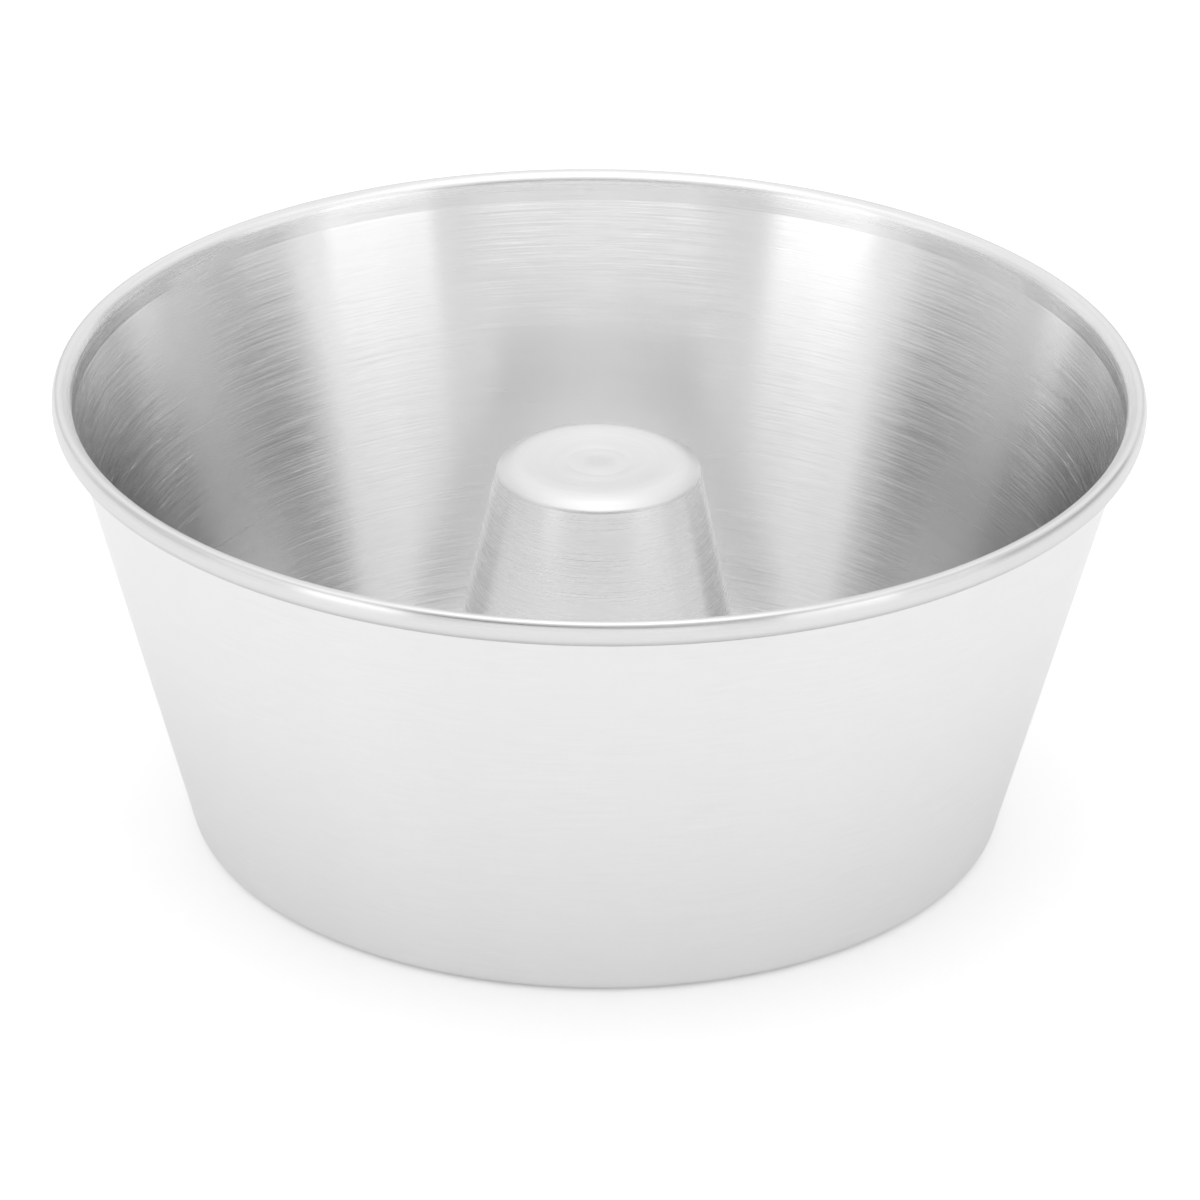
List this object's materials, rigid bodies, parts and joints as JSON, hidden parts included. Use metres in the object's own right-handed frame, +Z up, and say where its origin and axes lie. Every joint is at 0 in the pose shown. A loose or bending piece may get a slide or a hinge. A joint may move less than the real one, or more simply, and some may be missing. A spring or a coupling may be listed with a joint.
{
  "type": "angel food cake pan",
  "caption": "Round flared aluminium cake pan with a rolled rim and a closed centre cone, for baking ring-shaped sponge cakes; the base lifts out with its cone",
  "frame": {"origin": "On the table, on the pan's axis, at the middle of its round foot.", "axes": "+Z is up, along the pan's axis. X and Y are alike, because every piece is round."},
  "size_m": [0.254, 0.254, 0.109],
  "materials": {
    "pan_ring": "satin, spun, fine lines round the axis",
    "base_plate": "satin, spun, fine lines round the axis",
    "centre_cone": "satin, spun, fine lines round the axis"
  },
  "bodies": {
    "ring": {"pan_ring": "pan_ring"},
    "lift_out_base": {"base_plate": "base_plate", "centre_cone": "centre_cone"}
  },
  "joints": [
    {"name": "base_lift", "type": "slide", "parent": "ring", "child": "lift_out_base", "axis": [0, 0, 1], "range_m": [0, 0.12]}
  ]
}
